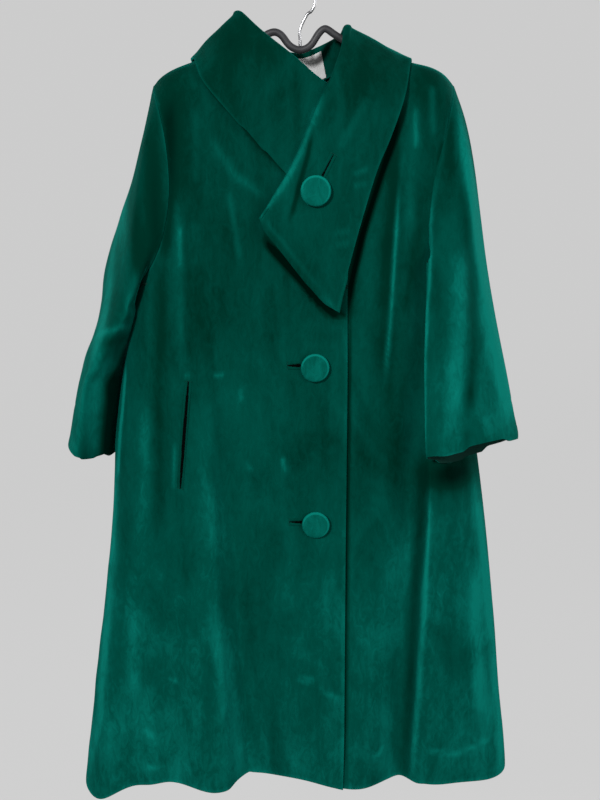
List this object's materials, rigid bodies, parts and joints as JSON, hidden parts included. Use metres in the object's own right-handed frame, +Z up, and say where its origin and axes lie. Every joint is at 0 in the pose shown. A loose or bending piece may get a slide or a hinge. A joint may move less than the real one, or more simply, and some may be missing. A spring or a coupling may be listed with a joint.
{
  "type": "swing coat on hanger",
  "caption": "Flared velvet swing coat with a wide wrapped collar, loose three-quarter sleeves and covered buttons, hung on a tubular hanger.",
  "frame": {"origin": "where the hook's inside top rests on a rod", "axes": "+Z up, +Y towards the coat's back, so the front faces -Y; +X to the viewer's right, the coat's left side"},
  "size_m": [0.6497, 0.1949, 1.1332],
  "materials": {
    "velvet": "deep pile velvet, crushed in places",
    "button_velvet": "the same velvet drawn over a domed button",
    "label": "woven satin",
    "hanger": "soft satin",
    "hook": "bright"
  },
  "bodies": {
    "root": {"back": "velvet", "front_left": "velvet", "front_right": "velvet", "sleeve_left": "velvet", "sleeve_right": "velvet", "collar": "velvet", "pocket_welt_left": "velvet", "pocket_welt_right": "velvet", "buttonhole_top": "velvet", "buttonhole_middle": "velvet", "buttonhole_bottom": "velvet", "button_top": "button_velvet", "button_middle": "button_velvet", "button_bottom": "button_velvet", "neck_label": "label", "hanger": "hanger", "hook": "hook"}
  },
  "joints": []
}
